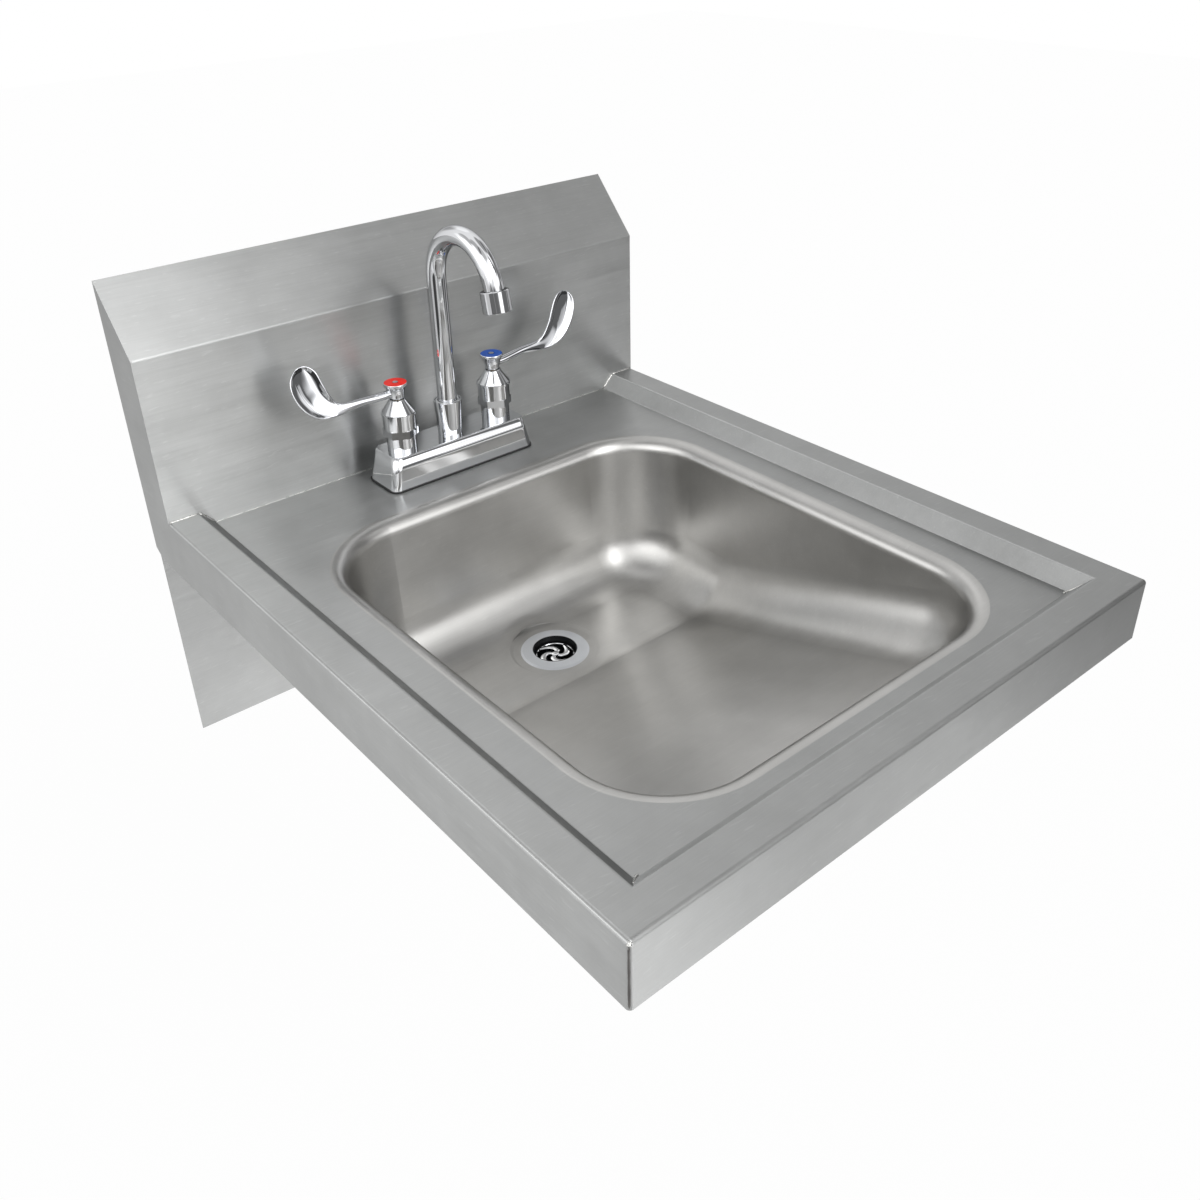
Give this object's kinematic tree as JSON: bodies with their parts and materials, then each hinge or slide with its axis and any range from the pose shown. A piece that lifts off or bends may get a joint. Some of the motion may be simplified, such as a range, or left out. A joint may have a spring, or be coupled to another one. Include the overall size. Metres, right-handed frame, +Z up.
{
  "type": "wall-hung hand basin",
  "caption": "Wall-hung stainless steel hand basin with a sloped-front bowl, raised rim, backsplash, swivel gooseneck spout and wrist-blade taps.",
  "frame": {"origin": "on the wall face of the rear panel, at mid width, level with the top of the raised rim", "axes": "+X to the user's right as they face the basin, +Y into the wall, +Z up"},
  "size_m": [0.508, 0.622, 0.5113],
  "materials": {
    "satin_steel": "fine satin grain along the length of each sheet",
    "hanger_steel": "plain bright steel",
    "chrome_plate": "polished plate",
    "bare_brass": "as turned",
    "black_rubber": "smooth matt",
    "white_plastic": "moulded",
    "red_plastic": "moulded gloss",
    "blue_plastic": "moulded gloss"
  },
  "bodies": {
    "basin": {"top_pan": "satin_steel", "bowl": "satin_steel", "backsplash": "satin_steel", "splash_end_left": "satin_steel", "splash_end_right": "satin_steel", "wall_skirt": "satin_steel", "wall_hanger": "hanger_steel", "faucet_gasket": "black_rubber", "faucet_base": "chrome_plate", "faucet_body": "bare_brass", "shank_washers": "hanger_steel", "shank_nuts": "bare_brass", "spout_collar": "chrome_plate", "drain_body": "satin_steel", "drain_strainer": "chrome_plate", "drain_gasket": "black_rubber", "drain_washer": "white_plastic", "drain_locknut": "bare_brass", "tail_washer": "black_rubber", "tailpiece": "chrome_plate", "tail_nut": "chrome_plate", "hot_valve_body": "chrome_plate", "hot_cartridge": "bare_brass", "hot_bonnet": "chrome_plate", "cold_valve_body": "chrome_plate", "cold_cartridge": "bare_brass", "cold_bonnet": "chrome_plate"},
    "hot_tap": {"hot_handle": "chrome_plate", "hot_index": "red_plastic", "hot_handle_screw": "hanger_steel", "hot_stem": "bare_brass"},
    "cold_tap": {"cold_handle": "chrome_plate", "cold_index": "blue_plastic", "cold_handle_screw": "hanger_steel", "cold_stem": "bare_brass"},
    "gooseneck": {"spout": "chrome_plate", "spout_bushing": "bare_brass", "spout_rings": "black_rubber", "aerator_shell": "chrome_plate", "aerator_washer": "black_rubber", "aerator_insert": "white_plastic"}
  },
  "joints": [
    {"name": "hot_turn", "type": "hinge", "parent": "basin", "child": "hot_tap", "pos_m": [-0.0508, -0.087, 0.0658], "axis": [0, 0, 1], "range_deg": [0, 90]},
    {"name": "cold_turn", "type": "hinge", "parent": "basin", "child": "cold_tap", "pos_m": [0.0508, -0.087, 0.0658], "axis": [0, 0, 1], "range_deg": [-90, 0]},
    {"name": "spout_swivel", "type": "hinge", "parent": "basin", "child": "gooseneck", "pos_m": [0, -0.087, 0.0363], "axis": [0, 0, 1], "range_deg": [-100, 100]}
  ]
}
